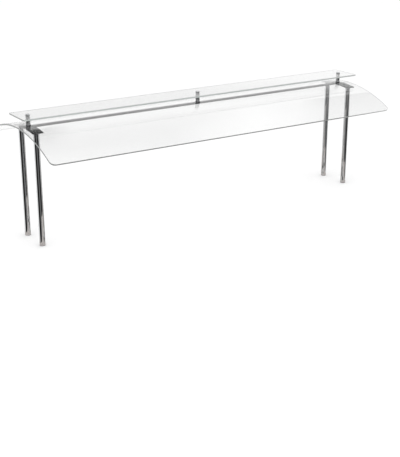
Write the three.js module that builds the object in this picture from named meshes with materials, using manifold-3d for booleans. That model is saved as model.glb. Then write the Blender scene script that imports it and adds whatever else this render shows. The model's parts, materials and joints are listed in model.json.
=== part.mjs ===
// Countertop sneeze guard: four round posts carry two arched end brackets and a crossbar, a bent
// glass canopy lies on them, and a flat glass shelf stands above the canopy on three standoffs.
//
// Millimetres. +X runs along the counter, +Y from its front to its rear, +Z up. The origin is the
// centre of the footprint, level with the lower ends of the anchor studs. The guard stands on a
// worktop whose upper face is at WORKTOP_Z.

import * as THREE from 'three';
import { mergeVertices } from 'three/addons/utils/BufferGeometryUtils.js';
import Module from 'manifold-3d';

const wasm = await Module();
wasm.setup();

// ---- driving dimensions ----

const WORKTOP_Z = 50;
const WORKTOP_THICKNESS = 30;

const GLASS = 8;
const GLASS_HOLE_RADIUS = 7.5;
const CANOPY_LENGTH = 2240;
const CANOPY_CORNER_RADIUS = 30;
const CANOPY_CHORD = 830;
const CANOPY_RADIUS = 865;
const CANOPY_HEIGHT = 640; // worktop to the top of the arch
const SHELF_LENGTH = 2240;
const SHELF_CORNER_RADIUS = 12;
const SHELF_WIDTH = 200;
const SHELF_HEIGHT = 697; // worktop to the shelf's upper face

const POST_X = 1055;
const POST_Y = 97.5;
const POST_RADIUS = 15.875;
const POST_WALL = 1.5;
const FOOT_GASKET = 2;
const PLUG_LENGTH = 30;

const BAR = 5;
const BRACKET_WIDTH = 60;
const BRACKET_HALF_STEPS = 7; // of the canopy's arc steps
const CROSSBAR_WIDTH = 35;
const GLAZING_PAD = 2;
const CROSSBAR_PAD_WIDTH = 20;

const STUD_RADIUS = 4; // M8
const ANCHOR_RADIUS = 5; // M10
const THREAD_CLEARANCE = 0.5;
const THREAD_CHAMFER = 0.8;
const SCREW_HEAD_RADIUS = 8;
const NUT_FLANGE = 2;

const BARREL_RADIUS = 12;
const BARREL_BORE_DEPTH = 17;
const GROMMET_RADIUS = 13.5;
const GROMMET_FLANGE = 2;
const SLEEVE_RADIUS = 6.75;
const SHELF_FLANGE = 1.5;
const CAP_RADIUS = 12.5;
const CAP_HEIGHT = 4.5;
const CAP_STEM = 25;
const CAP_GASKET = 1;

// ---- levels and angles that follow from them ----

const ARC_HALF_STEPS = 24;
const ARC_STEP = Math.asin(CANOPY_CHORD / 2 / CANOPY_RADIUS) / ARC_HALF_STEPS;
const APEX_Z = WORKTOP_Z + CANOPY_HEIGHT;
const ARC_CENTRE_Z = APEX_Z - CANOPY_RADIUS;
const BRACKET_TOP_RADIUS = CANOPY_RADIUS - GLASS - GLAZING_PAD;
const BRACKET_UNDER_RADIUS = BRACKET_TOP_RADIUS - BAR;
const BAR_TOP_Z = ARC_CENTRE_Z + BRACKET_TOP_RADIUS;
const BAR_UNDER_Z = BAR_TOP_Z - BAR;
const CROSSBAR_LENGTH = 2 * POST_X - BRACKET_WIDTH; // from bracket edge to bracket edge
const SHELF_TOP_Z = WORKTOP_Z + SHELF_HEIGHT;
const SHELF_UNDER_Z = SHELF_TOP_Z - GLASS;
const POST_FOOT_Z = WORKTOP_Z + FOOT_GASKET;
const WORKTOP_UNDER_Z = WORKTOP_Z - WORKTOP_THICKNESS;
const STUD_BORE = STUD_RADIUS + THREAD_CLEARANCE;
const ANCHOR_BORE = ANCHOR_RADIUS + THREAD_CLEARANCE;

const STANDOFFS = { left: -POST_X, centre: 0, right: POST_X };
const POSTS = {
  front_left: [-POST_X, -POST_Y],
  front_right: [POST_X, -POST_Y],
  rear_left: [-POST_X, POST_Y],
  rear_right: [POST_X, POST_Y],
};

const FINE = 32;
const MEDIUM = 24;
const COARSE = 16;
const FACET_GAP = 0.05; // kept between curved faces whose facets run parallel
const SEAT_GAP = 0.25; // kept where a flat face meets a curved one
const OVERCUT = 1; // how far a cutter reaches past the face that it opens

// ---- finishes ----

const finish = (colour, roughness, metalness) =>
  new THREE.MeshStandardMaterial({ color: colour, roughness, metalness });

const chrome = finish(0xd4d6d8, 0.08, 1);
const satinSteel = finish(0x9b9b9d, 0.38, 1);
const zincSteel = finish(0xa9abae, 0.35, 1);
const blackRubber = finish(0x1c1c1e, 0.8, 0);
const clearPad = finish(0xdfe3e2, 0.5, 0);
const glass = new THREE.MeshStandardMaterial({
  color: 0xe6ecea, roughness: 0.03, metalness: 0, transparent: true, opacity: 0.35,
});

// ---- solids ----

/** A closed geometry as a solid that can be joined and cut. */
function solid(geometry) {
  const bare = geometry.clone();
  bare.deleteAttribute('normal');
  bare.deleteAttribute('uv');
  const merged = mergeVertices(bare);
  return new wasm.Manifold(new wasm.Mesh({
    numProp: 3,
    vertProperties: merged.attributes.position.array,
    triVerts: merged.index.array,
  }));
}

/** A solid back as a geometry. */
function surface(body) {
  const mesh = body.getMesh();
  const geometry = new THREE.BufferGeometry();
  geometry.setAttribute('position', new THREE.BufferAttribute(mesh.vertProperties, 3));
  geometry.setIndex(new THREE.BufferAttribute(mesh.triVerts, 1));
  geometry.computeVertexNormals();
  return geometry;
}

// ---- basic shapes ----

/** A profile of [radius, z] points turned about the Z axis. */
function turned(profile, segments = COARSE) {
  const points = profile.map(([radius, z]) => new THREE.Vector2(radius, z));
  return new THREE.LatheGeometry(points, segments).rotateX(Math.PI / 2);
}

function cylinder(radius, low, high, segments = COARSE) {
  return turned([[0, low], [radius, low], [radius, high], [0, high]], segments);
}

/** A tube or flat ring from low to high. */
function ring(outer, inner, low, high, segments = COARSE) {
  return turned([
    [inner, low],
    [outer, low],
    [outer, high],
    [inner, high],
    [inner, low],
  ], segments);
}

/** A round rod from low to high, with both ends chamfered. */
function rod(radius, low, high, chamfer = THREAD_CHAMFER, segments = COARSE) {
  return turned([
    [0, low],
    [radius - chamfer, low],
    [radius, low + chamfer],
    [radius, high - chamfer],
    [radius - chamfer, high],
    [0, high],
  ], segments);
}

/** A hexagonal prism, with the given width across its flats. */
function hexagon(acrossFlats, low, high) {
  const corner = acrossFlats / Math.sqrt(3);
  return new THREE.CylinderGeometry(corner, corner, high - low, 6)
    .rotateX(Math.PI / 2)
    .translate(0, 0, (low + high) / 2);
}

/** The band between two radii of the canopy's arc, a whole number of steps each way, along X. */
function arcBand(outer, inner, halfSteps, length) {
  const at = (radius, step) => new THREE.Vector2(
    radius * Math.sin(step * ARC_STEP),
    ARC_CENTRE_Z + radius * Math.cos(step * ARC_STEP),
  );
  const outline = [];
  for (let step = halfSteps; step >= -halfSteps; step -= 1) {
    outline.push(at(outer, step));
  }
  for (let step = -halfSteps; step <= halfSteps; step += 1) {
    outline.push(at(inner, step));
  }
  const section = new THREE.Shape(outline);
  const alongX = new THREE.Matrix4().makeBasis(
    new THREE.Vector3(0, 1, 0),
    new THREE.Vector3(0, 0, 1),
    new THREE.Vector3(1, 0, 0),
  );
  return new THREE.ExtrudeGeometry(section, { depth: length, bevelEnabled: false })
    .applyMatrix4(alongX)
    .translate(-length / 2, 0, 0);
}

/** A flat outline with round holes along the X axis, given a thickness from low to high. */
function plate(outline, holeRadius, holesX, low, high) {
  for (const x of holesX) {
    outline.holes.push(new THREE.Path().absarc(x, 0, holeRadius, 0, 2 * Math.PI, true));
  }
  return new THREE.ExtrudeGeometry(outline, {
    depth: high - low,
    bevelEnabled: false,
    curveSegments: COARSE / 2,
  }).translate(0, 0, low);
}

function rectangle(length, width) {
  const right = length / 2;
  const rear = width / 2;
  return new THREE.Shape([
    new THREE.Vector2(right, -rear),
    new THREE.Vector2(right, rear),
    new THREE.Vector2(-right, rear),
    new THREE.Vector2(-right, -rear),
  ]);
}

function roundedRectangle(length, width, radius) {
  const x = length / 2 - radius;
  const y = width / 2 - radius;
  const outline = new THREE.Shape();
  outline.absarc(x, y, radius, 0, Math.PI / 2);
  outline.absarc(-x, y, radius, Math.PI / 2, Math.PI);
  outline.absarc(-x, -y, radius, Math.PI, 1.5 * Math.PI);
  outline.absarc(x, -y, radius, 1.5 * Math.PI, 2 * Math.PI);
  return outline;
}

// ---- assembly ----

const guard = new THREE.Group();

function add(name, geometry, material, x = 0, y = 0) {
  const mesh = new THREE.Mesh(geometry, material);
  mesh.name = name;
  mesh.position.set(x, y, 0);
  guard.add(mesh);
}

// ---- glass ----

/** The offcut that rounds one corner of the canopy; quarter counts its turns of 90 degrees. */
function canopyCorner(sideX, sideY, quarter) {
  const margin = GLASS;
  const radius = CANOPY_CORNER_RADIUS;
  const outline = new THREE.Shape();
  outline.moveTo(margin, margin);
  outline.lineTo(-radius, margin);
  outline.lineTo(-radius, 0);
  outline.absarc(-radius, -radius, radius, Math.PI / 2, 0, true);
  outline.lineTo(margin, -radius);
  const depth = 4 * GLASS;
  const tilt = sideY * ARC_HALF_STEPS * ARC_STEP;
  const middle = CANOPY_RADIUS - GLASS / 2;
  return new THREE.ExtrudeGeometry(outline, { depth, bevelEnabled: false, curveSegments: 8 })
    .translate(0, 0, -depth / 2)
    .rotateZ(quarter * Math.PI / 2)
    .rotateX(-tilt)
    .translate(
      sideX * CANOPY_LENGTH / 2,
      middle * Math.sin(tilt),
      ARC_CENTRE_Z + middle * Math.cos(tilt),
    );
}

function canopy() {
  const sheet = arcBand(CANOPY_RADIUS, CANOPY_RADIUS - GLASS, ARC_HALF_STEPS, CANOPY_LENGTH);
  let body = solid(sheet);
  for (const [sideX, sideY, quarter] of [[1, 1, 0], [-1, 1, 1], [-1, -1, 2], [1, -1, 3]]) {
    body = body.subtract(solid(canopyCorner(sideX, sideY, quarter)));
  }
  for (const x of Object.values(STANDOFFS)) {
    const hole = cylinder(GLASS_HOLE_RADIUS, APEX_Z - 2 * GLASS, APEX_Z + GLASS).translate(x, 0, 0);
    body = body.subtract(solid(hole));
  }
  return surface(body);
}

function shelf() {
  const outline = roundedRectangle(SHELF_LENGTH, SHELF_WIDTH, SHELF_CORNER_RADIUS);
  return plate(outline, GLASS_HOLE_RADIUS, Object.values(STANDOFFS), SHELF_UNDER_Z, SHELF_TOP_Z);
}

add('canopy_glass', canopy(), glass);
add('shelf_glass', shelf(), glass);

// ---- bars under the canopy ----

const SCREW_CONE = SCREW_HEAD_RADIUS - STUD_RADIUS;
const SCREW_END_Z = BAR_UNDER_Z - 30;
const TOP_PLUG_LOW_Z = BAR_UNDER_Z - 1.5 * PLUG_LENGTH;

// A bracket slopes where the screw goes in, so the head lies just below its lower lip.
const SCREW_LIP_Y = POST_Y + SCREW_HEAD_RADIUS;
const SCREW_HEAD_TOP_Z = ARC_CENTRE_Z + Math.sqrt(BRACKET_TOP_RADIUS ** 2 - SCREW_LIP_Y ** 2) - SEAT_GAP;

const COUNTERSINK_RADIUS = SCREW_HEAD_RADIUS + THREAD_CLEARANCE;

/** The bore and countersink of a bracket screw, through the plug and the bar above it. */
function countersink() {
  return turned([
    [0, TOP_PLUG_LOW_Z - OVERCUT],
    [STUD_BORE, TOP_PLUG_LOW_Z - OVERCUT],
    [STUD_BORE, SCREW_HEAD_TOP_Z - SCREW_CONE],
    [COUNTERSINK_RADIUS, SCREW_HEAD_TOP_Z],
    [COUNTERSINK_RADIUS, BAR_TOP_Z],
    [0, BAR_TOP_Z],
  ]);
}

/** The bore of a standoff screw through a bar, countersunk from below. */
function countersinkBelow() {
  return turned([
    [0, BAR_UNDER_Z - OVERCUT],
    [COUNTERSINK_RADIUS, BAR_UNDER_Z - OVERCUT],
    [COUNTERSINK_RADIUS, BAR_UNDER_Z],
    [STUD_BORE, BAR_UNDER_Z + SCREW_CONE],
    [STUD_BORE, BAR_TOP_Z + OVERCUT],
    [0, BAR_TOP_Z + OVERCUT],
  ]);
}

function endBracket() {
  const bar = arcBand(
    BRACKET_TOP_RADIUS, BRACKET_UNDER_RADIUS, BRACKET_HALF_STEPS, BRACKET_WIDTH,
  );
  let body = solid(bar).subtract(solid(countersinkBelow()));
  for (const side of [-1, 1]) {
    body = body.subtract(solid(countersink().translate(0, side * POST_Y, 0)));
  }
  return surface(body);
}

/** The glazing pad on a bracket, with an opening around the standoff screw. */
function bracketPad() {
  const strip = arcBand(
    BRACKET_TOP_RADIUS + GLAZING_PAD - FACET_GAP,
    BRACKET_TOP_RADIUS + FACET_GAP,
    BRACKET_HALF_STEPS - 1,
    BRACKET_WIDTH - 10,
  );
  const opening = cylinder(GLASS_HOLE_RADIUS, BAR_TOP_Z - OVERCUT, APEX_Z);
  return surface(solid(strip).subtract(solid(opening)));
}

function crossbar() {
  const bar = new THREE.BoxGeometry(CROSSBAR_LENGTH, CROSSBAR_WIDTH, BAR)
    .translate(0, 0, BAR_TOP_Z - BAR / 2);
  return surface(solid(bar).subtract(solid(countersinkBelow())));
}

function crossbarPad() {
  const outline = rectangle(CROSSBAR_LENGTH - CROSSBAR_WIDTH, CROSSBAR_PAD_WIDTH);
  return plate(outline, GLASS_HOLE_RADIUS, [0], BAR_TOP_Z, BAR_TOP_Z + GLAZING_PAD - SEAT_GAP);
}

for (const [side, x] of [['left', -POST_X], ['right', POST_X]]) {
  add(`end_bracket_${side}`, endBracket(), satinSteel, x);
  add(`bracket_pad_${side}`, bracketPad(), clearPad, x);
}
add('crossbar', crossbar(), satinSteel);
add('crossbar_pad', crossbarPad(), clearPad);

// ---- posts, each with a plug in both ends, and their fixings ----

const PLUG_RADIUS = POST_RADIUS - POST_WALL - 0.125;
const ANCHOR_TOP_Z = POST_FOOT_Z + PLUG_LENGTH - 4;

/** What lies above the brackets' underside, seen from a post at the given y. */
function aboveBracket(y) {
  const underside = BRACKET_UNDER_RADIUS - FACET_GAP;
  return solid(
    arcBand(CANOPY_RADIUS, underside, BRACKET_HALF_STEPS + 1, BRACKET_WIDTH).translate(0, -y, 0),
  );
}

/** A post, its top cut to the slope of the bracket. */
function post(y) {
  const tube = ring(POST_RADIUS, POST_RADIUS - POST_WALL, POST_FOOT_Z, BAR_TOP_Z, FINE);
  return surface(solid(tube).subtract(aboveBracket(y)));
}

function topPlug(y) {
  const blank = cylinder(PLUG_RADIUS, TOP_PLUG_LOW_Z, BAR_TOP_Z);
  return surface(solid(blank).subtract(aboveBracket(y)).subtract(solid(countersink())));
}

function bracketScrew() {
  return turned([
    [0, SCREW_END_Z],
    [STUD_RADIUS - THREAD_CHAMFER, SCREW_END_Z],
    [STUD_RADIUS, SCREW_END_Z + THREAD_CHAMFER],
    [STUD_RADIUS, SCREW_HEAD_TOP_Z - SCREW_CONE - SEAT_GAP],
    [SCREW_HEAD_RADIUS, SCREW_HEAD_TOP_Z - SEAT_GAP],
    [SCREW_HEAD_RADIUS - SEAT_GAP, SCREW_HEAD_TOP_Z],
    [0, SCREW_HEAD_TOP_Z],
  ]);
}

/** A hexagon nut with a round flange on its upper side. */
function anchorNut() {
  const acrossFlats = 16;
  const height = 11;
  const top = WORKTOP_UNDER_Z;
  const flange = cylinder(GROMMET_RADIUS, top - NUT_FLANGE, top);
  const hex = hexagon(acrossFlats, top - height, top - NUT_FLANGE / 2);
  const bore = cylinder(ANCHOR_BORE, top - height - OVERCUT, top + OVERCUT);
  return surface(solid(flange).add(solid(hex)).subtract(solid(bore)));
}

for (const [place, [x, y]] of Object.entries(POSTS)) {
  const footPlug = ring(PLUG_RADIUS, ANCHOR_BORE, POST_FOOT_Z, POST_FOOT_Z + PLUG_LENGTH);
  const footGasket = ring(POST_RADIUS, ANCHOR_BORE, WORKTOP_Z, POST_FOOT_Z);
  add(`post_${place}`, post(y), chrome, x, y);
  add(`top_plug_${place}`, topPlug(y), zincSteel, x, y);
  add(`bracket_screw_${place}`, bracketScrew(), zincSteel, x, y);
  add(`foot_plug_${place}`, footPlug, zincSteel, x, y);
  add(`foot_gasket_${place}`, footGasket, blackRubber, x, y);
  add(`anchor_stud_${place}`, rod(ANCHOR_RADIUS, 0, ANCHOR_TOP_Z), zincSteel, x, y);
  add(`anchor_nut_${place}`, anchorNut(), zincSteel, x, y);
}

// ---- standoffs between the canopy and the shelf ----

const BARREL_LOW_Z = APEX_Z + GROMMET_FLANGE;
const BARREL_HIGH_Z = SHELF_UNDER_Z - SHELF_FLANGE;
const CAP_LOW_Z = SHELF_TOP_Z + CAP_GASKET;

/** The grommet on the canopy: a wide flange on the glass, with a sleeve down into its hole. */
function canopyGrommet() {
  const sleeveEnd = APEX_Z - GLASS;
  return turned([
    [STUD_BORE, sleeveEnd],
    [SLEEVE_RADIUS, sleeveEnd],
    [SLEEVE_RADIUS, APEX_Z],
    [GROMMET_RADIUS, APEX_Z],
    [GROMMET_RADIUS, BARREL_LOW_Z],
    [STUD_BORE, BARREL_LOW_Z],
    [STUD_BORE, sleeveEnd],
  ]);
}

/** The grommet under the shelf: a flange below the glass, with a sleeve up into its hole. */
function shelfGrommet() {
  const sleeveEnd = SHELF_TOP_Z - CAP_GASKET / 2;
  return turned([
    [STUD_BORE, BARREL_HIGH_Z],
    [BARREL_RADIUS, BARREL_HIGH_Z],
    [BARREL_RADIUS, SHELF_UNDER_Z],
    [SLEEVE_RADIUS, SHELF_UNDER_Z],
    [SLEEVE_RADIUS, sleeveEnd],
    [STUD_BORE, sleeveEnd],
    [STUD_BORE, BARREL_HIGH_Z],
  ]);
}

/** A round distance piece with a threaded bore in each end. */
function barrel() {
  const low = BARREL_LOW_Z;
  const high = BARREL_HIGH_Z;
  const body = rod(BARREL_RADIUS, low, high, THREAD_CHAMFER, MEDIUM);
  const lowerBore = cylinder(STUD_BORE, low - OVERCUT, low + BARREL_BORE_DEPTH);
  const upperBore = cylinder(STUD_BORE, high - BARREL_BORE_DEPTH, high + OVERCUT);
  return surface(solid(body).subtract(solid(lowerBore)).subtract(solid(upperBore)));
}

/** A round cap with a crowned top and a screwed stem under it. */
function screwCap() {
  const stemEnd = CAP_LOW_Z - CAP_STEM;
  const top = CAP_LOW_Z + CAP_HEIGHT;
  return turned([
    [0, stemEnd],
    [STUD_RADIUS - THREAD_CHAMFER, stemEnd],
    [STUD_RADIUS, stemEnd + THREAD_CHAMFER],
    [STUD_RADIUS, CAP_LOW_Z],
    [CAP_RADIUS, CAP_LOW_Z],
    [CAP_RADIUS, top - 1.5],
    [CAP_RADIUS - 1, top - 0.5],
    [CAP_RADIUS - 4, top],
    [0, top],
  ], MEDIUM);
}

/** A countersunk screw that comes up through a bar and the canopy into the barrel. */
function standoffScrew() {
  const low = BAR_UNDER_Z + SEAT_GAP;
  const high = BARREL_LOW_Z + BARREL_BORE_DEPTH - 2;
  return turned([
    [0, low],
    [SCREW_HEAD_RADIUS - SEAT_GAP, low],
    [SCREW_HEAD_RADIUS, low + SEAT_GAP],
    [STUD_RADIUS, low + SEAT_GAP + SCREW_CONE],
    [STUD_RADIUS, high - THREAD_CHAMFER],
    [STUD_RADIUS - THREAD_CHAMFER, high],
    [0, high],
  ]);
}

for (const [place, x] of Object.entries(STANDOFFS)) {
  const capGasket = ring(CAP_RADIUS - 2, STUD_BORE, SHELF_TOP_Z, CAP_LOW_Z);
  add(`standoff_screw_${place}`, standoffScrew(), zincSteel, x);
  add(`canopy_grommet_${place}`, canopyGrommet(), blackRubber, x);
  add(`standoff_barrel_${place}`, barrel(), chrome, x);
  add(`shelf_grommet_${place}`, shelfGrommet(), clearPad, x);
  add(`cap_gasket_${place}`, capGasket, clearPad, x);
  add(`screw_cap_${place}`, screwCap(), chrome, x);
}

export default guard;
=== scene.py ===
"""Looks for a buffet sneeze guard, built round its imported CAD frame.

Metres. +X runs along the counter, +Y from its front to its rear, +Z up. Every piece but the two
weld beads is a fine mesh that stands for one CAD node and takes its place and size from its box.
"""

import json
import math

import bmesh
import bpy
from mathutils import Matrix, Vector


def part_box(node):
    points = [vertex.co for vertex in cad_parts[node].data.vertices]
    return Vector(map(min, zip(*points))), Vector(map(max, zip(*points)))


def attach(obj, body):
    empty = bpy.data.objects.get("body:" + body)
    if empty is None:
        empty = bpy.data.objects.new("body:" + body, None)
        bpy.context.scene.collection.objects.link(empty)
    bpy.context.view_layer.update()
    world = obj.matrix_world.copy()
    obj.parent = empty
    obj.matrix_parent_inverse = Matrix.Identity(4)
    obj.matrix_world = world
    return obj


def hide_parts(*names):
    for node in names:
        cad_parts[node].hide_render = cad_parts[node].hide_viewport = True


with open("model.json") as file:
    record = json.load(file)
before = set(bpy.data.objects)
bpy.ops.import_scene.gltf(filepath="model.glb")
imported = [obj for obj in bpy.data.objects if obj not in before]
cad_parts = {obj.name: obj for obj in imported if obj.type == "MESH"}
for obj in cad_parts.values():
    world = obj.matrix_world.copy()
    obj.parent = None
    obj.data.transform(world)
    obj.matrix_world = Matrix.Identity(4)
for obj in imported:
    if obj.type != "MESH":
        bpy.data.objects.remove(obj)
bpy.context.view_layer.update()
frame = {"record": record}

MM = 0.001

# ---- sizes that the boxes of the CAD nodes don't tell ----

CANOPY_RADIUS = 865 * MM
CANOPY_CORNER = 30 * MM
SHELF_CORNER = 12 * MM
GLASS_ARRIS = 1.2 * MM
GLASS_HOLE = 7.5 * MM
BAR_CORNER = 2 * MM
BAR_EASE = 0.6 * MM
PAD_EASE = 0.4 * MM
TUBE_EASE = 0.25 * MM
PLUG_EASE = 0.8 * MM
FOOT_EASE = 0.5 * MM
BARREL_EASE = 0.2 * MM
CANOPY_GROMMET_EASE = 0.45 * MM
SHELF_GROMMET_EASE = 0.4 * MM
POST_WALL = 1.5 * MM
STUD_BORE = 4.5 * MM
ANCHOR_BORE = 5.5 * MM
M8_PITCH = 1.25 * MM
M10_PITCH = 1.5 * MM
THREAD_CHAMFER = 0.8 * MM
SLEEVE_RADIUS = 6.75 * MM
SMALL_EASE = 0.3 * MM
SEAT_GAP = 0.05 * MM
HEAD_ROOM = 0.5 * MM  # between a countersunk head and its hole's mouth
NUT_FLATS = 16 * MM
NUT_FLANGE_EDGE = 1.6 * MM

ROUND = 96  # segments round a post
FINE = 48  # segments round a small part
HOLE_SIDE = 8  # grid cells along each side of the square patch round a hole
ARC_GAP = 9 * MM  # rows of a bent plate are no further apart than this
EASE_STEPS = 4
THREAD_STEPS = 6  # loops in one turn of a thread
SHARP_ANGLE = math.radians(40)

SIDES = ("left", "right")
STANDOFFS = ("left", "centre", "right")
POSTS = ("front_left", "front_right", "rear_left", "rear_right")


# ---- mesh helpers ----

def spread(low, high, gap):
    """Evenly spaced values from low to high, no further apart than gap."""
    count = max(1, math.ceil((high - low) / gap - 1e-6))
    return [low + (high - low) * step / count for step in range(count + 1)]


def skin(faces, chain):
    """Adds the quads between each loop of point numbers and the next one."""
    for here, there in zip(chain, chain[1:]):
        for i in range(len(here)):
            j = (i + 1) % len(here)
            faces.append((here[i], here[j], there[j], there[i]))


def loop(radius, level, segments=FINE):
    """A closed loop about the Z axis. Radius and level are numbers or functions of the angle."""
    points = []
    for step in range(segments):
        angle = 2 * math.pi * step / segments
        reach = radius(angle) if callable(radius) else radius
        height = level(angle) if callable(level) else level
        points.append((reach * math.cos(angle), reach * math.sin(angle), height))
    return points


def loft(loops, ring=False):
    """Points and faces that join a row of equal loops: a closed tube wall, or a body with flat ends."""
    points = [point for one in loops for point in one]
    count = len(loops[0])
    numbers = [list(range(row * count, (row + 1) * count)) for row in range(len(loops))]
    faces = []
    if ring:
        skin(faces, numbers + numbers[:1])
    else:
        skin(faces, numbers)
        faces.append(tuple(numbers[0]))
        faces.append(tuple(numbers[-1]))
    return points, faces


def eased(corners, ease, ring=False):
    """An outline of (radius, level) corners, each rounded so that it leaves its sides by ease."""
    count = len(corners)
    outline = []
    for i, corner in enumerate(corners):
        if not ring and i in (0, count - 1):
            outline.append(corner)
            continue
        middle = Vector(corner)
        before = Vector(corners[i - 1]) - middle
        after = Vector(corners[(i + 1) % count]) - middle
        start = middle + before.normalized() * min(ease, before.length / 2)
        end = middle + after.normalized() * min(ease, after.length / 2)
        for step in range(EASE_STEPS + 1):
            t = step / EASE_STEPS
            outline.append(tuple(start * (1 - t) ** 2 + middle * 2 * t * (1 - t) + end * t ** 2))
    return outline


def turned(corners, ease=SMALL_EASE, ring=False, segments=FINE):
    """A body of revolution from an outline of corners, closed on itself or with flat ends."""
    return loft([loop(r, z, segments) for r, z in eased(corners, ease, ring)], ring)


def hexagon(across_flats, limit=1.0):
    """The radius of a hexagon by angle, cut off at the limit that a chamfer sets."""
    def radius(angle):
        from_flat = (angle + math.pi / 6) % (math.pi / 3) - math.pi / 6
        return min(across_flats / 2 / math.cos(from_flat), limit)
    return radius


def thread(radius, pitch, low, high, segments=FINE):
    """The loops of a right-hand thread between two levels; it runs out to its root at both ends."""
    depth = 0.6 * pitch
    loops = []
    for z in spread(low, high, pitch / THREAD_STEPS):
        fade = min(1.0, (z - low) / pitch, (high - z) / pitch)

        def ridge(angle, z=z, fade=fade):
            turn = (z / pitch - angle / (2 * math.pi)) % 1
            crest = min(1.0, 1.3 * (1 - abs(2 * turn - 1)))
            return radius - depth * (1 - crest * fade)
        loops.append(loop(ridge, z, segments))
    return loops


class Layer:
    """A plate's middle surface: flat, or bent about an axis along X that lies below it."""

    def __init__(self, crown, thickness, outer_radius=None):
        self.half = thickness / 2
        self.middle = crown - self.half
        self.radius = outer_radius and outer_radius - self.half

    def point(self, x, s, h):
        """The point s across the plate from its crown, at height h over the middle surface."""
        if self.radius is None:
            return (x, s, self.middle + h)
        angle = s / self.radius
        reach = self.radius + h
        return (x, reach * math.sin(angle), self.middle - self.radius + reach * math.cos(angle))

    def height(self, y, h):
        if self.radius is None:
            return self.middle + h
        return self.middle - self.radius + math.sqrt((self.radius + h) ** 2 - y * y)

    def across(self, y):
        return y if self.radius is None else self.radius * math.asin(y / self.radius)


def plate(layer, half_length, half_width, corner, ease, holes=(), gap=1.0):
    """A plate with round corners, eased edges and upright round holes.

    A hole is (x, y, patch, wall). Its patch is half the side of the square of grid round it. Its
    wall is a row of (radius, face, drop), where drop is the distance from the face "top" or
    "bottom", or a level when face is None. Returns points, faces and each face's material number.
    """
    patches = [(x, layer.across(y), patch) for x, y, patch, wall in holes]
    columns = {half_length - 1.5 * corner, 1.5 * corner - half_length}
    rows = {0.0}
    for x, s, patch in patches:
        columns.update(spread(x - patch, x + patch, 2 * patch / HOLE_SIDE))
        rows.update(spread(s - patch, s + patch, 2 * patch / HOLE_SIDE))
    for step in range(HOLE_SIDE + 1):
        turn = math.pi / 2 * step / HOLE_SIDE
        row = half_width - corner + (corner - ease) * math.sin(turn)
        rows.update((row, -row))
    columns = sorted({round(x, 8) for x in columns})
    breaks = sorted({round(s, 8) for s in rows})
    rows = breaks[:1]
    for low, high in zip(breaks, breaks[1:]):
        rows += spread(low, high, gap)[1:]

    def outward(x, s):
        """The outline's direction outward at an edge point of the grid."""
        past = abs(s) - (half_width - corner)
        if past < 0:
            return math.copysign(1, x), 0.0
        reach = Vector((max(abs(x) - (half_length - corner), 0), past))
        reach = reach.normalized() if reach.length > 1e-9 else Vector((0, 1))
        return math.copysign(reach.x, x), math.copysign(reach.y, s)

    def end_of_row(s):
        past = max(abs(s) - (half_width - corner), 0)
        return half_length - corner + math.sqrt(max((corner - ease) ** 2 - past ** 2, 0))

    flat = [[(x, s) for x in (-end_of_row(s), *columns, end_of_row(s))] for s in rows]
    width, depth = len(flat[0]), len(flat)

    def number(row, column):
        return row * width + column

    rim = [number(0, i) for i in range(width)]
    rim += [number(j, width - 1) for j in range(1, depth)]
    rim += [number(depth - 1, i) for i in range(width - 2, -1, -1)]
    rim += [number(j, 0) for j in range(depth - 2, 0, -1)]

    squares, gone = [], set()
    for x, s, patch in patches:
        left = min(range(len(columns)), key=lambda i: abs(columns[i] - (x - patch))) + 1
        low = min(range(depth), key=lambda j: abs(rows[j] - (s - patch)))
        right, high = left + HOLE_SIDE, low + HOLE_SIDE
        gone.update((j, i) for j in range(low, high) for i in range(left, right))
        square = [number(low, i) for i in range(left, right)]
        square += [number(j, right) for j in range(low, high)]
        square += [number(high, i) for i in range(right, left, -1)]
        square += [number(j, left) for j in range(high, low, -1)]
        squares.append(square)

    points, faces = [], []
    for h in (layer.half, -layer.half):
        first = len(points)
        points += [layer.point(x, s, h) for row in flat for x, s in row]
        for j in range(depth - 1):
            for i in range(width - 1):
                if (j, i) not in gone:
                    cell = (number(j, i), number(j, i + 1), number(j + 1, i + 1), number(j + 1, i))
                    faces.append(tuple(first + n for n in cell))
    under = width * depth

    def add_loop(new):
        first = len(points)
        points.extend(new)
        return list(range(first, len(points)))

    walls = []
    for (x, y, patch, wall), square in zip(holes, squares):
        chain = []
        for radius, face, drop in wall:
            circle = []
            for step in range(4 * HOLE_SIDE):
                angle = math.pi * (1.25 + step / (2 * HOLE_SIDE))  # from the patch's low left corner
                px = x + radius * math.cos(angle)
                py = y + radius * math.sin(angle)
                side = layer.half if face == "top" else -layer.half
                pz = drop if face is None else layer.height(py, side) - math.copysign(drop, side)
                circle.append((px, py, pz))
            chain.append(add_loop(circle))
        skin(faces, [square, chain[0]])
        skin(faces, [chain[-1], [under + n for n in square]])
        walls.append(chain)
    plain = len(faces)
    for chain in walls:
        skin(faces, chain)

    places = [place for row in flat for place in row]
    profile = []
    for step in range(1, EASE_STEPS + 1):
        turn = math.pi / 2 * step / EASE_STEPS
        profile.append((ease * math.sin(turn), layer.half - ease * (1 - math.cos(turn))))
    profile += [(out, -h) for out, h in reversed(profile)]
    chain = [rim]
    for out, h in profile:
        around = []
        for n in rim:
            x, s = places[n]
            dx, ds = outward(x, s)
            around.append(layer.point(x + out * dx, s + out * ds, h))
        chain.append(add_loop(around))
    chain.append([under + n for n in rim])
    skin(faces, chain)
    kinds = [0] * plain + [1] * (len(faces) - plain)
    return points, faces, kinds


# ---- nodes of materials ----

def add_node(tree, kind, inputs=None, **settings):
    """A shader node with its settings.

    Inputs go by name or number, and each is a value or the socket that feeds it.
    """
    made = tree.nodes.new(kind)
    for name, value in settings.items():
        setattr(made, name, value)
    for name, value in (inputs or {}).items():
        if isinstance(value, bpy.types.NodeSocket):
            tree.links.new(value, made.inputs[name])
        else:
            made.inputs[name].default_value = value
    return made


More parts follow.
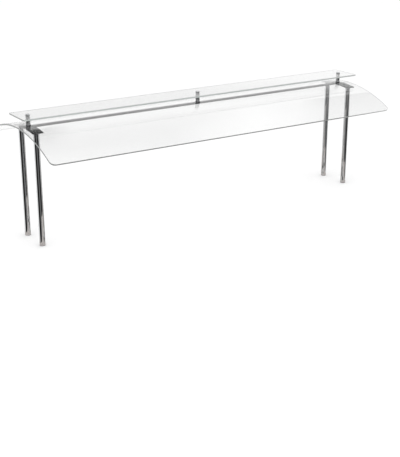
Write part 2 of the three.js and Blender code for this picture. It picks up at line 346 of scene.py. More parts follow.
def new_material(name, **values):
    """A material with one Principled shader; returns it with its tree and that shader."""
    made = bpy.data.materials.new(name)
    made.use_nodes = True
    shader = made.node_tree.nodes["Principled BSDF"]
    for label, value in values.items():
        shader.inputs[label.replace("_", " ")].default_value = value
    return made, made.node_tree, shader


def noise(tree, scale, detail=3.0, stretch=(1, 1, 1)):
    """A noise value in the piece's own space, with its scale changed along each axis."""
    place = add_node(tree, "ShaderNodeTexCoord")
    mapping = add_node(tree, "ShaderNodeMapping", {"Vector": place.outputs["Object"], "Scale": stretch})
    texture = add_node(
        tree, "ShaderNodeTexNoise",
        {"Vector": mapping.outputs["Vector"], "Scale": scale, "Detail": detail},
    )
    return texture.outputs["Fac"]


def between(tree, value, low, high, start=0.3, end=0.7):
    """Maps a value from start..end to low..high."""
    inputs = {"Value": value, "From Min": start, "From Max": end, "To Min": low, "To Max": high}
    return add_node(tree, "ShaderNodeMapRange", inputs).outputs["Result"]


# The sockets of a Mix node that mixes colours, by number.
MIX_SHARE = 0
MIX_COLOURS = (6, 7)
MIX_RESULT = 2


def mixed_colour(tree, share, first, second):
    """The colour a share of the way between two colours, each a socket or a plain colour."""
    inputs = {MIX_SHARE: share}
    for number, colour in zip(MIX_COLOURS, (first, second)):
        inputs[number] = colour if isinstance(colour, bpy.types.NodeSocket) else (*colour, 1)
    return add_node(tree, "ShaderNodeMix", inputs, data_type="RGBA").outputs[MIX_RESULT]


def mixed_shader(tree, share, first, second):
    """The node that gives the first node's shader at share 0 and the second's at share 1."""
    inputs = {0: share, 1: first.outputs[0], 2: second.outputs[0]}
    return add_node(tree, "ShaderNodeMixShader", inputs)


def tinted(colour, share):
    return tuple(channel * share for channel in colour)


def bumped(tree, shader, value, strength, distance):
    inputs = {"Height": value, "Strength": strength, "Distance": distance}
    bump = add_node(tree, "ShaderNodeBump", inputs)
    tree.links.new(bump.outputs["Normal"], shader.inputs["Normal"])


def ramp(tree, value, stops):
    """Grey levels by value; stops are (value from 0 to 1, level)."""
    made = add_node(tree, "ShaderNodeValToRGB", {"Fac": value})
    elements = made.color_ramp.elements
    while len(elements) < len(stops):
        elements.new(0.5)
    for element, (position, level) in zip(elements, stops):
        element.position = position
        element.color = (level, level, level, 1)
    return made.outputs["Color"]


def maths(tree, operation, *values):
    made = add_node(tree, "ShaderNodeMath", dict(enumerate(values)), operation=operation)
    return made.outputs[0]


COLOURS = {m["slot"]: tuple(m["base_color"][:3]) for m in frame["record"]["materials"]}
SATIN_SHARE = 0.42  # what is left of the record's colour on the bars
SATIN_EDGE_TINT = (0.3, 0.3, 0.3, 1)
ZINC_FILM = (0.96, 0.93, 0.84)
GLASS_IOR = 1.52
GLASS_TINT = (0.974, 0.976, 0.975)
# Painted light and shade: the canopy's edge gets darker tones than the shelf's, though both sheets are
# the same glass.
CANOPY_EDGE_TONES = ((0.24, 0.245, 0.243), (0.33, 0.335, 0.333))
SHELF_EDGE_TONES = ((0.49, 0.525, 0.515), (0.60, 0.63, 0.62))
# Painted light on the glass edges: lighter tones for the end faces, and for all of the edge towards the
# right end.
LEFT_END_EDGE = (0.34, 0.35, 0.345)
RIGHT_END_EDGE = (0.6, 0.61, 0.605)
PAINTED_LIGHT_EDGE = (0.56, 0.57, 0.565)
PAINTED_LIGHT_EDGE_SPAN = (0.7, 1.12)  # the X between which the long edges turn to it


def chrome_material(name, share, low_roughness, high_roughness, metallic=1.0):
    """Polish with faint wiping marks; share darkens it."""
    made, tree, shader = new_material(name, Metallic=metallic)
    colour = tinted(COLOURS["chrome"], share)
    smears = noise(tree, 9, 5, (1, 1, 0.35))
    specks = noise(tree, 420, 2)
    roughness = between(tree, smears, low_roughness, high_roughness)
    tree.links.new(roughness, shader.inputs["Roughness"])
    shades = mixed_colour(tree, specks, tinted(colour, 0.94), colour)
    tree.links.new(shades, shader.inputs["Base Color"])
    bumped(tree, shader, noise(tree, 30, 1, (1, 1, 0.15)), 0.06, 0.2 * MM)
    return made


def satin_material(name, stretch):
    """Stainless flat bar, brushed along its length."""
    made, tree, shader = new_material(name, Metallic=1.0, Anisotropic=0.5)
    shader.inputs["Specular Tint"].default_value = SATIN_EDGE_TINT
    colour = tinted(COLOURS["satin_steel"], SATIN_SHARE)
    brush = noise(tree, 1, 4, stretch)
    clouds = noise(tree, 22, 4)
    tree.links.new(between(tree, brush, 0.18, 0.32), shader.inputs["Roughness"])
    shades = mixed_colour(tree, clouds, tinted(colour, 0.88), colour)
    tree.links.new(shades, shader.inputs["Base Color"])
    bumped(tree, shader, brush, 0.18, 0.05 * MM)
    return made


def zinc_material():
    """Bright zinc with a faint spangle and a dull film in places."""
    made, tree, shader = new_material("zinc", Metallic=1.0)
    colour = COLOURS["zinc_steel"]
    spangle = noise(tree, 260, 3)
    film = noise(tree, 40, 3)
    warm = tuple(channel * share for channel, share in zip(colour, ZINC_FILM))
    tree.links.new(mixed_colour(tree, film, warm, colour), shader.inputs["Base Color"])
    tree.links.new(between(tree, spangle, 0.26, 0.46), shader.inputs["Roughness"])
    bumped(tree, shader, spangle, 0.1, 0.05 * MM)
    return made


def rubber_material():
    """Matt black rubber with dust in its grain."""
    made, tree, shader = new_material("rubber", Specular_IOR_Level=0.35)
    colour = COLOURS["black_rubber"]
    grain = noise(tree, 900, 4)
    dust = noise(tree, 60, 4)
    tree.links.new(mixed_colour(tree, dust, colour, tinted(colour, 1.7)), shader.inputs["Base Color"])
    tree.links.new(between(tree, dust, 0.62, 0.82), shader.inputs["Roughness"])
    bumped(tree, shader, grain, 0.25, 0.05 * MM)
    return made


def pad_material():
    """Clear silicone strip. It clings to glass and metal, so its faces hardly mirror."""
    made, tree, shader = new_material("silicone", Transmission_Weight=1.0, IOR=1.05)
    colour = COLOURS["clear_pad"]
    clouds = noise(tree, 120, 3)
    shades = mixed_colour(tree, clouds, tinted(colour, 1.05), tinted(colour, 1.13))
    tree.links.new(shades, shader.inputs["Base Color"])
    tree.links.new(between(tree, clouds, 0.01, 0.08), shader.inputs["Roughness"])
    return made


def washer_material():
    """Milky silicone of the rings between shelf, barrels and caps."""
    made, tree, shader = new_material("milky_silicone", Transmission_Weight=0.6, IOR=1.35)
    colour = COLOURS["clear_pad"]
    clouds = noise(tree, 160, 4)
    shades = mixed_colour(tree, clouds, tinted(colour, 0.86), colour)
    tree.links.new(shades, shader.inputs["Base Color"])
    tree.links.new(between(tree, clouds, 0.25, 0.4), shader.inputs["Roughness"])
    bumped(tree, shader, noise(tree, 700, 3), 0.1, 0.05 * MM)
    return made


def glass_material():
    """Clear tempered glass with almost invisible smears."""
    made, tree, shader = new_material("glass", Transmission_Weight=1.0, IOR=GLASS_IOR)
    smears = noise(tree, 3, 5)
    shades = mixed_colour(tree, smears, tinted(GLASS_TINT, 0.99), GLASS_TINT)
    tree.links.new(shades, shader.inputs["Base Color"])
    tree.links.new(between(tree, smears, 0.0, 0.012), shader.inputs["Roughness"])
    return made


def glass_edge_material(name, dark, light):
    """The polished edge, with painted light. It pales at the sheet's ends, and most at the right end.
    """
    made, tree, shader = new_material(name, Transmission_Weight=0.25, IOR=GLASS_IOR)
    streaks = noise(tree, 6, 3)
    along = mixed_colour(tree, streaks, dark, light)
    normal = add_node(tree, "ShaderNodeNewGeometry").outputs["Normal"]
    side = add_node(tree, "ShaderNodeSeparateXYZ", {"Vector": normal}).outputs["X"]
    # Painted light: faces turned along X, the sheet's ends, get the lighter end tones.
    is_end = between(tree, maths(tree, "ABSOLUTE", side), 0.0, 1.0, 0.6, 0.97)
    place = add_node(tree, "ShaderNodeTexCoord").outputs["Object"]
    x = add_node(tree, "ShaderNodeSeparateXYZ", {"Vector": place}).outputs["X"]
    # Painted light: the edge grows lighter towards the sheet's right end.
    painted_light_at_right = between(tree, x, 0.0, 1.0, *PAINTED_LIGHT_EDGE_SPAN)
    along = mixed_colour(tree, painted_light_at_right, along, PAINTED_LIGHT_EDGE)
    across = mixed_colour(tree, painted_light_at_right, LEFT_END_EDGE, RIGHT_END_EDGE)
    shades = mixed_colour(tree, is_end, along, across)
    tree.links.new(shades, shader.inputs["Base Color"])
    tree.links.new(between(tree, noise(tree, 300, 3), 0.08, 0.2), shader.inputs["Roughness"])
    return made


CHROME = chrome_material("chrome", share=1.0, low_roughness=0.02, high_roughness=0.07)
DULL_CHROME = chrome_material("dull_chrome", share=0.5, low_roughness=0.12, high_roughness=0.2)
SOFT_CHROME = chrome_material(
    "soft_chrome", share=0.9, low_roughness=0.3, high_roughness=0.42, metallic=0.6,
)
SATIN_ALONG_X = satin_material("satin_along_x", stretch=(14, 2600, 2600))
SATIN_ALONG_Y = satin_material("satin_along_y", stretch=(2600, 14, 60))
ZINC = zinc_material()
RUBBER = rubber_material()
PAD = pad_material()
WASHER = washer_material()
GLASS = glass_material()
CANOPY_EDGE = glass_edge_material("canopy_edge", *CANOPY_EDGE_TONES)
SHELF_EDGE = glass_edge_material("shelf_edge", *SHELF_EDGE_TONES)


# ---- pieces ----

def add_piece(name, built, materials, body="frame", replaces=(), at=(0, 0)):
    """A named piece from (points, faces) or (points, faces, kinds), with smooth, even normals."""
    points, faces = built[:2]
    mesh = bpy.data.meshes.new(name)
    mesh.from_pydata([(x + at[0], y + at[1], z) for x, y, z in points], [], faces)
    if len(materials) > 1:
        mesh.polygons.foreach_set("material_index", built[2])
    work = bmesh.new()
    work.from_mesh(mesh)
    bmesh.ops.recalc_face_normals(work, faces=work.faces)
    work.to_mesh(mesh)
    work.free()
    mesh.shade_smooth()
    mesh.set_sharp_from_angle(angle=SHARP_ANGLE)
    for one in materials:
        mesh.materials.append(one)
    piece = bpy.data.objects.new(name, mesh)
    bpy.context.scene.collection.objects.link(piece)
    even = piece.modifiers.new("even_normals", "WEIGHTED_NORMAL")
    even.keep_sharp = True
    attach(piece, body)
    if replaces:
        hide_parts(*replaces)
    return piece


def stand_for(node, built, materials, body="frame", at=(0, 0)):
    return add_piece(f"{node}_fine", built, materials, body, (node,), at)


def spot(node):
    """The X and Y of a node's middle."""
    low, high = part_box(node)
    return ((low.x + high.x) / 2, (low.y + high.y) / 2)


def levels(node):
    low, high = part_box(node)
    return low.z, high.z


def girth(node):
    """The radius of a round node."""
    low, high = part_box(node)
    return (high.x - low.x) / 2


def ring_corners(node, bore):
    """The outline of a plain ring."""
    low, high = levels(node)
    return [(bore, low), (girth(node), low), (girth(node), high), (bore, high)]


def plain_hole(x, y, radius, ease, patch):
    wall = (
        (radius + ease, "top", 0.0),
        (radius, "top", ease),
        (radius, "bottom", ease),
        (radius + ease, "bottom", 0.0),
    )
    return (x, y, patch, wall)


# ---- glass ----

GLASS_LOW, GLASS_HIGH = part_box("shelf_glass")
GLASS_THICK = GLASS_HIGH.z - GLASS_LOW.z
CANOPY_TOP = levels("canopy_glass")[1]
ARC_CENTRE = CANOPY_TOP - CANOPY_RADIUS
GLASS_PATCH = 16 * MM


def add_glass():
    holes = [
        plain_hole(*spot(f"screw_cap_{place}"), GLASS_HOLE, GLASS_ARRIS / 2, GLASS_PATCH)
        for place in STANDOFFS
    ]
    shelf = plate(
        Layer(GLASS_HIGH.z, GLASS_THICK),
        GLASS_HIGH.x, GLASS_HIGH.y, SHELF_CORNER, GLASS_ARRIS, holes,
    )
    layer = Layer(CANOPY_TOP, GLASS_THICK, CANOPY_RADIUS)
    canopy_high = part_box("canopy_glass")[1]
    half_turn = math.asin(canopy_high.y / CANOPY_RADIUS)
    canopy = plate(
        layer, canopy_high.x, half_turn * layer.radius, CANOPY_CORNER, GLASS_ARRIS, holes, ARC_GAP,
    )
    for node, built, edge in (
        ("shelf_glass", shelf, SHELF_EDGE),
        ("canopy_glass", canopy, CANOPY_EDGE),
    ):
        piece = stand_for(node, built, (GLASS, edge))
        # The light that falls on the floor and on other pieces passes the glass unchanged.
        piece.visible_shadow = False
        piece.visible_diffuse = False


# ---- bars and pads ----

BAR_LOW, BAR_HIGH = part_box("crossbar")
BAR_THICK = BAR_HIGH.z - BAR_LOW.z
BRACKET_RADIUS = BAR_HIGH.z - ARC_CENTRE
BRACKET_UNDER = BRACKET_RADIUS - BAR_THICK
STUD_PATCH = 11 * MM
PAD_PATCH = 8.6 * MM
SCREW_PATCH = 13 * MM
SCREW_CONE = 4 * MM


def bent_half_width(node, outer_radius, layer):
    return layer.radius * math.asin(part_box(node)[1].y / outer_radius)


def hole_from_below():
    """The middle hole of a bar, countersunk from below for a standoff's screw."""
    head = girth("standoff_screw_centre") + HEAD_ROOM
    wall = (
        (STUD_BORE + BAR_EASE, "top", 0.0),
        (STUD_BORE, "top", BAR_EASE),
        (STUD_BORE, None, BAR_LOW.z + SCREW_CONE),
        (head, "bottom", 0.0),
    )
    return (0, 0, STUD_PATCH, wall)


def add_bars():
    for side in SIDES:
        node = f"end_bracket_{side}"
        layer = Layer(BAR_HIGH.z, BAR_THICK, BRACKET_RADIUS)
        holes = [hole_from_below()]
        for end in ("front", "rear"):
            post = f"{end}_{side}"
            head_top = levels(f"bracket_screw_{post}")[1]
            mouth = girth(f"bracket_screw_{post}") + HEAD_ROOM
            wall = (
                (mouth + BAR_EASE, "top", 0.0),
                (mouth, None, head_top),
                (STUD_BORE, None, head_top - SCREW_CONE),
                (STUD_BORE, "bottom", BAR_EASE),
                (STUD_BORE + BAR_EASE, "bottom", 0.0),
            )
            holes.append((0, spot(f"post_{post}")[1], SCREW_PATCH, wall))
        bar = plate(
            layer, girth(node), bent_half_width(node, BRACKET_RADIUS, layer),
            BAR_CORNER, BAR_EASE, holes, ARC_GAP,
        )
        stand_for(node, bar, (SATIN_ALONG_Y,), at=(spot(node)[0], 0))

        node = f"bracket_pad_{side}"
        low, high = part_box(node)
        pad_radius = high.z - ARC_CENTRE
        layer = Layer(high.z, pad_radius - BRACKET_RADIUS - SEAT_GAP, pad_radius)
        pad = plate(
            layer, girth(node), bent_half_width(node, pad_radius, layer),
            BAR_CORNER, PAD_EASE, [plain_hole(0, 0, GLASS_HOLE, PAD_EASE, STUD_PATCH)], ARC_GAP,
        )
        stand_for(node, pad, (PAD,), at=(spot(node)[0], 0))

    layer = Layer(BAR_HIGH.z, BAR_THICK)
    bar = plate(layer, BAR_HIGH.x, BAR_HIGH.y, BAR_CORNER / 2, BAR_EASE, [hole_from_below()])
    stand_for("crossbar", bar, (SATIN_ALONG_X,))
    low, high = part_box("crossbar_pad")
    centre = plain_hole(0, 0, GLASS_HOLE, PAD_EASE, PAD_PATCH)
    pad = plate(Layer(high.z, high.z - low.z), high.x, high.y, BAR_CORNER, PAD_EASE, [centre])
    stand_for("crossbar_pad", pad, (PAD,))


def add_welds():
    """A rippled bead under each joint of the crossbar and a bracket."""
    bead_radius = 2.2 * MM
    ripple = 1.1 * MM
    segments = 16
    for side, sign in (("left", -1), ("right", 1)):
        loops = []
        reach = BAR_HIGH.y - BAR_EASE
        for y in spread(-reach, reach, ripple / 6):
            phase = (y / ripple) % 1
            fade = math.sqrt(max(0.05, 1 - (abs(y) / reach) ** 12))
            radius = bead_radius * fade * (0.86 + 0.14 * math.sin(math.pi * phase))
            lean = ripple * 0.8
            ring = []
            for step in range(segments):
                angle = 2 * math.pi * step / segments
                x = radius * math.cos(angle)
                ring.append((
                    sign * BAR_HIGH.x + x,
                    y + lean * (1 - (x / bead_radius) ** 2) * fade,
                    BAR_LOW.z + 0.45 * radius * math.sin(angle),
                ))
            loops.append(ring)
        add_piece(f"crossbar_weld_{side}", loft(loops), (ZINC,))


# ---- posts and what fastens them ----

def coped(radius, y, drop):
    """The level of a bracket's underside round a post at y, lowered by drop, by angle."""
    def level(angle):
        reach = y + radius * math.sin(angle)
        return ARC_CENTRE + math.sqrt(BRACKET_UNDER ** 2 - reach ** 2) - SEAT_GAP - drop
    return level


def coped_tube(outer, inner, low, y, ease, segments=ROUND):
    """A tube whose upper end follows the bracket over it."""
    bulge = 0.3 * ease
    loops = [
        loop(inner + ease, low, segments),
        loop(outer - ease, low, segments),
        loop(outer - bulge, low + bulge, segments),
        loop(outer, low + ease, segments),
        loop(outer, coped(outer, y, ease), segments),
        loop(outer - bulge, coped(outer, y, bulge), segments),
        loop(outer - ease, coped(outer, y, 0), segments),
        loop(inner + ease, coped(inner, y, 0), segments),
        loop(inner, coped(inner, y, ease), segments),
        loop(inner, low + ease, segments),
    ]
    return loft(loops, ring=True)


def screw_loops(node):
    """A countersunk screw with a hexagon socket, from its lower end to the socket's floor."""
    low, high = levels(node)
    head = girth(node)
    shank = head - SCREW_CONE
    socket = 5 * MM
    socket_depth = 2.6 * MM
    floor = high - socket_depth
    neck = high - SCREW_CONE - 0.4 * MM
    return [
        loop(shank - THREAD_CHAMFER, low),
        *thread(shank, M8_PITCH, low + THREAD_CHAMFER / 2, neck),
        loop(shank, neck + 0.2 * MM),
        loop(head - 0.1 * MM, high - 0.45 * MM),
        loop(head - 0.05 * MM, high - 0.3 * MM),
        loop(head - 0.3 * MM, high),
        loop(hexagon(socket + 0.5 * MM), high),
        loop(hexagon(socket), high - 0.25 * MM),
        loop(hexagon(socket), floor),
        loop(0.5 * MM, floor - 0.6 * MM),
    ]


def turned_over(loops, low, high):
    """The same body upside down between the same levels."""
    return [[(x, -y, low + high - z) for x, y, z in one] for one in loops]


def rod_loops(node, pitch):
    """A stud threaded over its whole length, with chamfered ends."""
    low, high = levels(node)
    radius = girth(node)
    end = radius - THREAD_CHAMFER
    return [
        loop(end - SMALL_EASE, low),
        loop(end, low + SMALL_EASE),
        *thread(radius, pitch, low + 2 * SMALL_EASE, high - 2 * SMALL_EASE),
        loop(end, high - SMALL_EASE),
        loop(end - SMALL_EASE, high),
    ]


def flange_nut_loops(node, bore, across_flats, flange_edge):
    """From the bore's lower mouth, over the hexagon and the sloping flange, to its upper mouth."""
    low, high = levels(node)
    corner = across_flats / math.sqrt(3)
    flange = girth(node)
    chamfer = 1.1 * MM
    rise = chamfer * math.tan(math.radians(30))
    lip = 0.7 * MM
    hexagon_top = high - 2.2 * flange_edge
    slope_top = high - 1.7 * flange_edge
    slope_reach = flange - 3 * MM
    return [
        loop(bore, low + lip),
        loop(bore + lip, low),
        loop(across_flats / 2 - SMALL_EASE, low),
        loop(hexagon(across_flats, corner - chamfer), low + SMALL_EASE),
        loop(hexagon(across_flats, corner - chamfer / 2), low + rise),
        loop(hexagon(across_flats), low + 2 * rise),
        loop(hexagon(across_flats), hexagon_top),
        loop(lambda angle: max(hexagon(across_flats)(angle), slope_reach), slope_top),
        loop(flange - SMALL_EASE, high - flange_edge),
        loop(flange, high - flange_edge + SMALL_EASE),
        loop(flange, high - SMALL_EASE),
        loop(flange - SMALL_EASE, high),
        loop(bore + lip, high),
        loop(bore, high - lip),
    ]


def add_posts():
    for place in POSTS:
        node = f"post_{place}"
        x, y = spot(node)
        outer = girth(node)
        inner = outer - POST_WALL
        foot = levels(node)[0]
        tube = coped_tube(outer, inner, foot, y, TUBE_EASE)
        stand_for(node, tube, (CHROME,), at=(x, y))

        node = f"top_plug_{place}"
        plug = coped_tube(girth(node), STUD_BORE, levels(node)[0], y, PLUG_EASE, FINE)
        stand_for(node, plug, (ZINC,), at=(x, y))

        node = f"foot_plug_{place}"
        plug = turned(ring_corners(node, ANCHOR_BORE), PLUG_EASE, ring=True)
        stand_for(node, plug, (ZINC,), at=(x, y))

        node = f"foot_gasket_{place}"
        gasket = turned(ring_corners(node, ANCHOR_BORE), FOOT_EASE, ring=True, segments=ROUND)
        stand_for(node, gasket, (RUBBER,), at=(x, y))

        node = f"bracket_screw_{place}"
        stand_for(node, loft(screw_loops(node)), (ZINC,), at=(x, y))
        node = f"anchor_stud_{place}"
        stand_for(node, loft(rod_loops(node, M10_PITCH)), (ZINC,), at=(x, y))
        node = f"anchor_nut_{place}"
        nut = loft(flange_nut_loops(node, ANCHOR_BORE, NUT_FLATS, NUT_FLANGE_EDGE), ring=True)
        stand_for(node, nut, (ZINC,), at=(x, y))


# ---- standoffs ----

def barrel_corners(node):
    """From the upper bore's end, over the barrel, to the lower bore's end."""
    low, high = levels(node)
    radius = girth(node)
    depth = 17 * MM
    tip = 0.6 * MM
    return [
        (tip, high - depth - 2 * tip),
        (STUD_BORE, high - depth),
        (STUD_BORE, high - THREAD_CHAMFER),
        (STUD_BORE + THREAD_CHAMFER, high),
        (radius - THREAD_CHAMFER, high),
        (radius, high - THREAD_CHAMFER),
        (radius, low + THREAD_CHAMFER),
        (radius - THREAD_CHAMFER, low),
        (STUD_BORE + THREAD_CHAMFER, low),
        (STUD_BORE, low + THREAD_CHAMFER),
        (STUD_BORE, low + depth),
        (tip, low + depth + 2 * tip),
    ]


def cap_loops(node):
    """The threaded stem, then the round head with its crowned top."""
    low, high = levels(node)
    seat = levels(node.replace("screw_cap", "cap_gasket"))[1]
    radius = girth(node)
    stem = 4 * MM
    relief = 1.5 * MM
    side_top = high - 1.5 * MM
    loops = [
        loop(stem - THREAD_CHAMFER - SMALL_EASE, low),
        loop(stem - THREAD_CHAMFER, low + SMALL_EASE),
        *thread(stem, M8_PITCH, low + 2 * SMALL_EASE, seat - relief),
        loop(stem - 0.5 * MM, seat - relief / 2),
        loop(stem - 0.5 * MM, seat),
        loop(radius - 2 * SMALL_EASE, seat),
        loop(radius - SMALL_EASE / 2, seat + SMALL_EASE / 2),
        loop(radius, seat + 2 * SMALL_EASE),
    ]
    crown = high - side_top
    shoulder = 4 * MM
    steps = 10
    for step in range(steps + 1):
        angle = math.pi / 2 * step / steps
        reach = radius - shoulder * (1 - math.cos(angle))
        loops.append(loop(reach, side_top + crown * math.sin(angle)))
    loops.append(loop(radius / 2, high))
    loops.append(loop(1 * MM, high))
    return loops


def add_standoffs():
    for place in STANDOFFS:
        node = f"standoff_screw_{place}"
        at = spot(node)
        screw = turned_over(screw_loops(node), *levels(node))
        stand_for(node, loft(screw), (ZINC,), at=at)

        node = f"canopy_grommet_{place}"
        low, high = levels(node)
        flange = girth(node)
        outline = [
            (STUD_BORE, low), (SLEEVE_RADIUS, low), (SLEEVE_RADIUS, CANOPY_TOP),
            (flange, CANOPY_TOP), (flange, high), (STUD_BORE, high),
        ]
        grommet = turned(outline, CANOPY_GROMMET_EASE, ring=True)
        stand_for(node, grommet, (RUBBER,), at=at)

        node = f"standoff_barrel_{place}"
        barrel = turned(barrel_corners(node), BARREL_EASE)
        stand_for(node, barrel, (DULL_CHROME,), at=at)

        node = f"shelf_grommet_{place}"
        low, high = levels(node)
        flange = girth(node)
        outline = [
            (STUD_BORE, low), (flange, low), (flange, GLASS_LOW.z),
            (SLEEVE_RADIUS, GLASS_LOW.z), (SLEEVE_RADIUS, high), (STUD_BORE, high),
        ]
        grommet = turned(outline, SHELF_GROMMET_EASE, ring=True)
        stand_for(node, grommet, (WASHER,), at=at)

        node = f"cap_gasket_{place}"
        gasket = turned(ring_corners(node, STUD_BORE), ring=True)
        stand_for(node, gasket, (WASHER,), body=node, at=at)

        node = f"screw_cap_{place}"
        stand_for(node, loft(cap_loops(node)), (SOFT_CHROME,), body=node, at=at)


add_glass()
add_bars()
add_welds()
add_posts()
add_standoffs()


# ---- stage: floor, studio light and camera ----

WORKTOP = levels("foot_gasket_front_left")[0]
FLOOR_HALF = 40.0
FLOOR_TONES = (0.93, 0.95)
WORLD_STRENGTH = 1.09

# The counter that polished parts mirror, painted as a glow of the floor: half lengths and half widths
# of its top and its well, the half size of its ends and the |X| where they start, and the X left of
# which the room differs.
WORKTOP_HALF = (1.12, 0.415)
WELL_HALF = (1.0, 0.27)
ENDS_HALF = (1.12, 0.6)
ENDS_FROM = 0.7
LEFT_END = -1.03
STONE_TONES = ((0.32, 0.29, 0.28), (0.74, 0.70, 0.67))
PAN_TONES = ((0.07, 0.07, 0.07), (0.55, 0.54, 0.53))

LIGHT_AIM = (0, 0, 0.3)
LIGHTS = {
    "top_softbox": {"place": (-0.6, -0.8, 4.2), "size": 3.0, "power": 11},
    "side_softbox": {"place": (-3.2, -1.2, 2.6), "size": 2.0, "power": 5},
}

CAMERA_PLACE = (-3.0096, -4.6880, WORKTOP + 1.8764)
CAMERA_YAW = 0.5732
CAMERA_PITCH = 0.3475
CAMERA_LENS = 76.97


# The room that polished parts mirror. Below the horizon it is a level by compass direction in
# degrees, with north along +Y and east along +X; its west half differs between the counter's left
# end and the rest. Above the horizon it is a level by the direction's Z for a few values of its X,
# and the levels between them are blended.
EAST_LEVELS = (
    (-12, 1.0), (-8, 0.10), (2, 0.14), (6, 1.0), (53, 1.0), (57, 0.08), (67, 0.12), (71, 1.0),
    (104, 1.0), (116, 0.55), (130, 0.05), (142, 0.02), (165, 0.02), (180, 0.04),
)
WEST_LEVELS = {
    "end": (
        (-180, 0.04), (-169, 0.10), (-159, 0.20), (-144, 0.16), (-134, 0.015), (-82, 0.005),
        (-70, 0.3), (-56, 1.0),
    ),
    "rest": (
        (-180, 0.04), (-170, 0.05), (-155, 0.10), (-138, 0.16), (-120, 0.20), (-98, 0.30),
        (-80, 0.38), (-60, 0.45), (-40, 0.60), (-15, 1.0),
    ),
}
HORIZON_LEVELS = ((0.0, 1.0), (0.17, 0.97), (0.193, 0.93), (0.206, 0.78), (0.228, 0.72), (0.25, 0.66))
LEFT_FALL = ((0.36, 0.76), (0.44, 0.74), (0.54, 0.62), (0.65, 0.45), (0.75, 0.18), (0.80, 0.07))
SOFT_FALL = ((0.36, 0.9), (0.42, 0.8), (0.54, 0.62), (0.65, 0.45), (0.75, 0.18), (0.80, 0.07))
HEIGHT_LEVELS = (
    (0.39, ((0.38, 0.75), (0.43, 0.04), (0.80, 0.04))),
    (0.415, LEFT_FALL),
    (0.46, SOFT_FALL),
    (0.50, SOFT_FALL),
    (0.53, ((0.40, 0.9), (0.60, 0.62), (0.80, 0.5))),
    (0.575, ((0.36, 0.85), (0.80, 0.95))),
    (0.61, ((0.36, 0.82), (0.54, 0.85), (0.60, 0.75), (0.80, 0.7))),
    (0.63, ((0.36, 0.80), (0.537, 0.85), (0.547, 0.42), (0.80, 0.35))),
)
ZENITH_LEVELS = ((0.92, 0.3), (1.0, 0.9))
HORIZON_BLEND = 0.03  # the two halves mix within this Z of the horizon


def studio_group():
    """What polished parts mirror, by direction: a dark room with a bright backdrop and screens."""
    group = bpy.data.node_groups.new("studio_mirror", "ShaderNodeTree")
    group.interface.new_socket("Direction", in_out="INPUT", socket_type="NodeSocketVector")
    group.interface.new_socket("At left end", in_out="INPUT", socket_type="NodeSocketFloat")
    group.interface.new_socket("Color", in_out="OUTPUT", socket_type="NodeSocketColor")
    start = group.nodes.new("NodeGroupInput")
    end = group.nodes.new("NodeGroupOutput")
    unit = add_node(group, "ShaderNodeVectorMath", {0: start.outputs[0]}, operation="NORMALIZE")
    parts = add_node(group, "ShaderNodeSeparateXYZ", {"Vector": unit.outputs["Vector"]}).outputs

    # A full turn runs from 0 to 1, with south at both ends.
    compass = maths(group, "ARCTAN2", parts["X"], parts["Y"])
    compass = maths(group, "MULTIPLY_ADD", compass, 0.5 / math.pi, 0.5)
    rounds = {}
    for place, west in WEST_LEVELS.items():
        stops = [(degrees / 360 + 0.5, level) for degrees, level in (*west, *EAST_LEVELS)]
        rounds[place] = ramp(group, compass, stops)
    below = mixed_colour(group, start.outputs[1], rounds["rest"], rounds["end"])

    above, last_x = None, None
    for x, levels_up in HEIGHT_LEVELS:
        column = ramp(group, parts["Z"], (*HORIZON_LEVELS, *levels_up, *ZENITH_LEVELS))
        if above:
            share = between(group, parts["X"], 0.0, 1.0, last_x, x)
            column = mixed_colour(group, share, above, column)
        above, last_x = column, x
    upward = between(group, parts["Z"], 0.0, 1.0, -HORIZON_BLEND, HORIZON_BLEND)
    group.links.new(mixed_colour(group, upward, below, above), end.inputs[0])
    return group


def mirrored(tree):
    """1 for light that has met a mirror on its way to the camera."""
    path = add_node(tree, "ShaderNodeLightPath")
    return maths(tree, "GREATER_THAN", path.outputs["Glossy Depth"], 0.5)


def studio_colour(tree, group, at_left_end=None):
    """The mirrored studio in the direction that the ray travels."""
    incoming = add_node(tree, "ShaderNodeNewGeometry").outputs["Incoming"]
    back = {0: incoming, "Scale": -1}
    travel = add_node(tree, "ShaderNodeVectorMath", back, operation="SCALE").outputs["Vector"]
    inputs = {0: travel}
    if at_left_end:
        inputs[1] = at_left_end
    return add_node(tree, "ShaderNodeGroup", inputs, node_tree=group).outputs[0]


def add_world(group):
    world = bpy.data.worlds.new("studio")
    bpy.context.scene.world = world
    world.use_nodes = True
    tree = world.node_tree
    plain = tree.nodes["Background"]
    plain.inputs["Color"].default_value = (1, 1, 1, 1)
    plain.inputs["Strength"].default_value = WORLD_STRENGTH
    mirror = add_node(tree, "ShaderNodeBackground", {"Color": studio_colour(tree, group)})
    mix = mixed_shader(tree, mirrored(tree), plain, mirror)
    tree.links.new(mix.outputs[0], tree.nodes["World Output"].inputs["Surface"])


def within(tree, parts, half):
    """1 inside a rectangle of this half length and half width about the origin."""
    inside = [
        maths(tree, "LESS_THAN", maths(tree, "ABSOLUTE", parts.outputs[i]), half[i])
        for i in range(2)
    ]
    return maths(tree, "MULTIPLY", *inside)


def counter_colour(tree, parts):
    """Painted reflection of the counter that polished parts mirror: speckled stone round a well of
    bright pans.
    """
    speckle = noise(tree, 90, 2)
    grains = between(tree, speckle, 0, 1, 0.4, 0.6)
    stone = mixed_colour(tree, grains, *STONE_TONES)
    patches = between(tree, noise(tree, 9, 2, (1, 1.6, 1)), 0, 1, 0.44, 0.52)
    pans = mixed_colour(tree, patches, *PAN_TONES)
    return mixed_colour(tree, within(tree, parts, WELL_HALF), stone, pans)


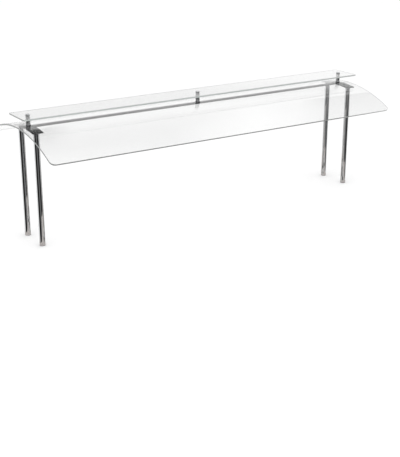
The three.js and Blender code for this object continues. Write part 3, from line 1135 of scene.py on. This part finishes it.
def add_floor(group):
    """A pale floor at the worktop's level. For polished parts it glows with a painted reflection of the
    counter and room.
    """
    half = FLOOR_HALF
    corners = [(-half, -half, 0), (half, -half, 0), (half, half, 0), (-half, half, 0)]
    mesh = bpy.data.meshes.new("floor")
    mesh.from_pydata(corners, [], [(0, 1, 2, 3)])
    made, tree, shader = new_material("floor", Roughness=0.9, Specular_IOR_Level=0.1)
    low, high = ((tone, tone, tone) for tone in FLOOR_TONES)
    pale = mixed_colour(tree, noise(tree, 2, 3), low, high)
    tree.links.new(pale, shader.inputs["Base Color"])
    place = add_node(tree, "ShaderNodeNewGeometry").outputs["Position"]
    parts = add_node(tree, "ShaderNodeSeparateXYZ", {"Vector": place})
    at_an_end = maths(tree, "GREATER_THAN", maths(tree, "ABSOLUTE", parts.outputs["X"]), ENDS_FROM)
    end_share = maths(tree, "MULTIPLY", at_an_end, within(tree, parts, ENDS_HALF))
    top_share = maths(tree, "MAXIMUM", within(tree, parts, WORKTOP_HALF), end_share)
    at_left_end = maths(tree, "LESS_THAN", parts.outputs["X"], LEFT_END)
    studio = studio_colour(tree, group, at_left_end)
    # Painted reflection: for rays that have met a mirror, the floor glows with the counter and the
    # studio.
    painted_reflection_colour = mixed_colour(tree, top_share, studio, counter_colour(tree, parts))
    mirror = add_node(tree, "ShaderNodeEmission", {"Color": painted_reflection_colour})
    from_above = mixed_shader(tree, mirrored(tree), shader, mirror)
    from_below = add_node(tree, "ShaderNodeBsdfTransparent")
    is_below = add_node(tree, "ShaderNodeNewGeometry").outputs["Backfacing"]
    either = mixed_shader(tree, is_below, from_above, from_below)
    tree.links.new(either.outputs[0], tree.nodes["Material Output"].inputs["Surface"])
    mesh.materials.append(made)
    floor = bpy.data.objects.new("floor", mesh)
    floor.location.z = WORKTOP - SEAT_GAP
    bpy.context.scene.collection.objects.link(floor)


def add_light(name, place, size, power):
    """A square soft light that no polished part mirrors."""
    light = bpy.data.lights.new(name, "AREA")
    light.shape = "SQUARE"
    light.size = size
    light.energy = power
    lamp = bpy.data.objects.new(name, light)
    lamp.location = place
    lamp.rotation_mode = "QUATERNION"
    lamp.rotation_quaternion = (Vector(LIGHT_AIM) - Vector(place)).to_track_quat("-Z", "Y")
    lamp.visible_glossy = False
    bpy.context.scene.collection.objects.link(lamp)


def add_camera():
    data = bpy.data.cameras.new("camera")
    data.lens = CAMERA_LENS
    camera = bpy.data.objects.new("camera", data)
    camera.location = CAMERA_PLACE
    camera.rotation_euler = (math.pi / 2 - CAMERA_PITCH, 0, -CAMERA_YAW)
    bpy.context.scene.collection.objects.link(camera)
    bpy.context.scene.camera = camera


STUDIO = studio_group()
add_world(STUDIO)
add_floor(STUDIO)
for light_name, light_values in LIGHTS.items():
    add_light(light_name, **light_values)
add_camera()
bpy.context.scene.view_settings.view_transform = "Standard"
